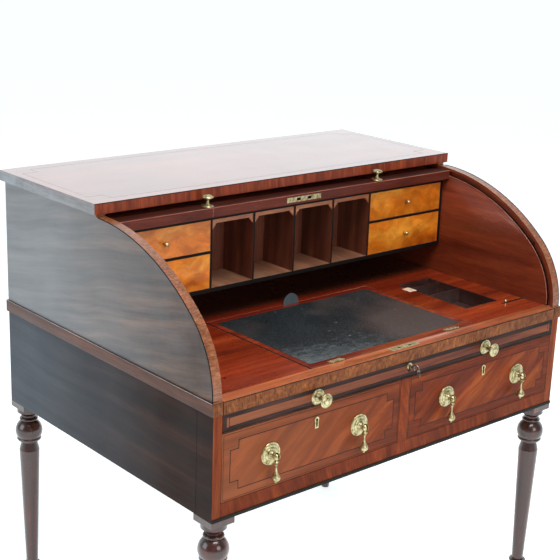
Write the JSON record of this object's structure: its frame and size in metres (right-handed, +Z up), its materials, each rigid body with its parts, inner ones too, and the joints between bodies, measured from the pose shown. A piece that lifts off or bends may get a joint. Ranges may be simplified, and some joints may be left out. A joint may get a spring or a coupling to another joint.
{
  "type": "roll top desk",
  "caption": "Tambour roll top desk on turned legs, with pigeonholes, small drawers, a pull-out writing slide with a leather slope, and deep drawers below.",
  "frame": {"origin": "middle of the bounding box's underside, on the floor under the desk", "axes": "+X to the right as a sitter faces the desk, +Y towards its back, +Z up"},
  "size_m": [1.068, 0.826, 1.072],
  "materials": {
    "mahogany": "polished",
    "dark_mahogany": "polished",
    "satinwood": "polished",
    "brass": "aged, softly polished",
    "leather": "worn, satin"
  },
  "bodies": {
    "carcass": {"top_board": "mahogany", "left_upper_side": "mahogany", "right_upper_side": "mahogany", "upper_back": "dark_mahogany", "left_lower_side": "mahogany", "right_lower_side": "mahogany", "lower_back": "dark_mahogany", "waist_band": "mahogany", "bottom_rail": "mahogany", "centre_muntin": "mahogany", "dust_board": "dark_mahogany", "drawer_runners": "dark_mahogany", "front_left_leg": "dark_mahogany", "front_right_leg": "dark_mahogany", "back_left_leg": "dark_mahogany", "back_right_leg": "dark_mahogany", "nest_top": "dark_mahogany", "nest_bottom": "dark_mahogany", "nest_uprights": "dark_mahogany", "nest_back": "dark_mahogany", "nest_valances": "mahogany"},
    "roll_lip": {"lip_rail": "dark_mahogany", "lip_knobs": "brass", "strike_plate": "brass"},
    "roll_01": {"slats_01": "mahogany"},
    "roll_02": {"slats_02": "mahogany"},
    "roll_03": {"slats_03": "mahogany"},
    "roll_04": {"slats_04": "mahogany"},
    "roll_05": {"slats_05": "mahogany"},
    "roll_06": {"slats_06": "mahogany"},
    "roll_07": {"slats_07": "mahogany"},
    "roll_08": {"slats_08": "mahogany"},
    "roll_09": {"slats_09": "mahogany"},
    "roll_10": {"slats_10": "mahogany"},
    "writing_slide": {"slide_top": "mahogany", "slide_carcase": "dark_mahogany", "slide_front": "mahogany", "slide_knobs": "brass", "pen_tray": "dark_mahogany", "slide_lock": "brass"},
    "lock_bolts": {"lock_bolts": "brass"},
    "key": {"key": "brass"},
    "slope": {"slope_board": "mahogany", "slope_leather": "leather", "slope_tab": "leather", "slope_hinges": "brass"},
    "left_side_bolt": {"left_side_bolt": "brass"},
    "right_side_bolt": {"right_side_bolt": "brass"},
    "left_drawer": {"left_drawer": "mahogany", "left_drawer_fittings": "brass"},
    "right_drawer": {"right_drawer": "mahogany", "right_drawer_fittings": "brass"},
    "drop_handle_1": {"drop_handle_1": "brass"},
    "drop_handle_2": {"drop_handle_2": "brass"},
    "drop_handle_3": {"drop_handle_3": "brass"},
    "drop_handle_4": {"drop_handle_4": "brass"},
    "top_left_small_drawer": {"top_left_small_drawer": "satinwood"},
    "low_left_small_drawer": {"low_left_small_drawer": "satinwood"},
    "top_right_small_drawer": {"top_right_small_drawer": "satinwood"},
    "low_right_small_drawer": {"low_right_small_drawer": "satinwood"}
  },
  "joints": [
    {"name": "roll_travel", "type": "hinge", "parent": "carcass", "child": "roll_lip", "pos_m": [0, -0.04349, 0.69833], "axis": [-1, 0, 0], "range_deg": [-81.45, 0]},
    {"name": "roll_turn_01", "type": "hinge", "parent": "carcass", "child": "roll_01", "pos_m": [0, -0.02462, 0.66593], "axis": [-1, 0, 0], "range_deg": [-73.77, 0]},
    {"name": "roll_turn_02", "type": "hinge", "parent": "carcass", "child": "roll_02", "pos_m": [0, -0.00507, 0.62036], "axis": [-1, 0, 0], "range_deg": [-65.46, 0]},
    {"name": "roll_turn_03", "type": "hinge", "parent": "carcass", "child": "roll_03", "pos_m": [0, 0.01135, 0.56648], "axis": [-1, 0, 0], "range_deg": [-57.91, 0]},
    {"name": "roll_turn_04", "type": "hinge", "parent": "carcass", "child": "roll_04", "pos_m": [0, 0.00812, 0.58373], "axis": [-1, 0, 0], "range_deg": [-60.09, 0]},
    {"name": "roll_turn_05", "type": "hinge", "parent": "carcass", "child": "roll_05", "pos_m": [0, 0.00656, 0.60192], "axis": [-1, 0, 0], "range_deg": [-62.52, 0]},
    {"name": "roll_turn_06", "type": "hinge", "parent": "carcass", "child": "roll_06", "pos_m": [0, 0.00695, 0.61888], "axis": [-1, 0, 0], "range_deg": [-64.95, 0]},
    {"name": "roll_turn_07", "type": "hinge", "parent": "carcass", "child": "roll_07", "pos_m": [0, 0.0091, 0.63451], "axis": [-1, 0, 0], "range_deg": [-67.39, 0]},
    {"name": "roll_turn_08", "type": "hinge", "parent": "carcass", "child": "roll_08", "pos_m": [0, 0.01281, 0.64874], "axis": [-1, 0, 0], "range_deg": [-69.82, 0]},
    {"name": "roll_turn_09", "type": "hinge", "parent": "carcass", "child": "roll_09", "pos_m": [0, 0.01787, 0.66153], "axis": [-1, 0, 0], "range_deg": [-72.25, 0]},
    {"name": "roll_turn_10", "type": "hinge", "parent": "carcass", "child": "roll_10", "pos_m": [0, 0.0241, 0.67281], "axis": [-1, 0, 0], "range_deg": [-74.69, 0]},
    {"name": "slide_out", "type": "slide", "parent": "carcass", "child": "writing_slide", "axis": [0, -1, 0], "range_m": [0, 0.25]},
    {"name": "slope_lift", "type": "hinge", "parent": "writing_slide", "child": "slope", "pos_m": [0, -0.3505, 0.7672], "axis": [1, 0, 0], "range_deg": [0, 52]},
    {"name": "bolts_rise", "type": "slide", "parent": "writing_slide", "child": "lock_bolts", "axis": [0, 0, 1], "range_m": [0, 0.009]},
    {"name": "key_turn", "type": "hinge", "parent": "writing_slide", "child": "key", "pos_m": [0.008, -0.36357, 0.725], "axis": [0, 1, 0], "range_deg": [0, 90.02]},
    {"name": "left_bolt_throw", "type": "slide", "parent": "writing_slide", "child": "left_side_bolt", "axis": [1, 0, 0], "range_m": [-0.008, 0]},
    {"name": "right_bolt_throw", "type": "slide", "parent": "writing_slide", "child": "right_side_bolt", "axis": [-1, 0, 0], "range_m": [-0.008, 0]},
    {"name": "left_drawer_out", "type": "slide", "parent": "carcass", "child": "left_drawer", "axis": [0, -1, 0], "range_m": [0, 0.45]},
    {"name": "right_drawer_out", "type": "slide", "parent": "carcass", "child": "right_drawer", "axis": [0, -1, 0], "range_m": [0, 0.45]},
    {"name": "drop_1_swing", "type": "hinge", "parent": "left_drawer", "child": "drop_handle_1", "pos_m": [-0.38075, -0.401, 0.6245], "axis": [-1, 0, 0], "range_deg": [0, 80]},
    {"name": "drop_2_swing", "type": "hinge", "parent": "left_drawer", "child": "drop_handle_2", "pos_m": [-0.13675, -0.401, 0.6245], "axis": [-1, 0, 0], "range_deg": [0, 80]},
    {"name": "drop_3_swing", "type": "hinge", "parent": "right_drawer", "child": "drop_handle_3", "pos_m": [0.13675, -0.401, 0.6245], "axis": [-1, 0, 0], "range_deg": [0, 80]},
    {"name": "drop_4_swing", "type": "hinge", "parent": "right_drawer", "child": "drop_handle_4", "pos_m": [0.38075, -0.401, 0.6245], "axis": [-1, 0, 0], "range_deg": [0, 80]},
    {"name": "top_left_small_drawer_out", "type": "slide", "parent": "carcass", "child": "top_left_small_drawer", "axis": [0, 1, 0], "range_m": [-0.078, 0]},
    {"name": "low_left_small_drawer_out", "type": "slide", "parent": "carcass", "child": "low_left_small_drawer", "axis": [0, 1, 0], "range_m": [-0.078, 0]},
    {"name": "top_right_small_drawer_out", "type": "slide", "parent": "carcass", "child": "top_right_small_drawer", "axis": [0, 1, 0], "range_m": [-0.078, 0]},
    {"name": "low_right_small_drawer_out", "type": "slide", "parent": "carcass", "child": "low_right_small_drawer", "axis": [0, 1, 0], "range_m": [-0.078, 0]}
  ],
  "couplings": [
    {"joint": "roll_turn_01", "follows": "roll_travel", "ratio": 0.90561},
    {"joint": "roll_turn_02", "follows": "roll_travel", "ratio": 0.80363},
    {"joint": "roll_turn_03", "follows": "roll_travel", "ratio": 0.71091},
    {"joint": "roll_turn_04", "follows": "roll_travel", "ratio": 0.73761},
    {"joint": "roll_turn_05", "follows": "roll_travel", "ratio": 0.76749},
    {"joint": "roll_turn_06", "follows": "roll_travel", "ratio": 0.79736},
    {"joint": "roll_turn_07", "follows": "roll_travel", "ratio": 0.82724},
    {"joint": "roll_turn_08", "follows": "roll_travel", "ratio": 0.85711},
    {"joint": "roll_turn_09", "follows": "roll_travel", "ratio": 0.88699},
    {"joint": "roll_turn_10", "follows": "roll_travel", "ratio": 0.91687},
    {"joint": "key_turn", "follows": "bolts_rise", "rad_per_m": 174.53}
  ]
}
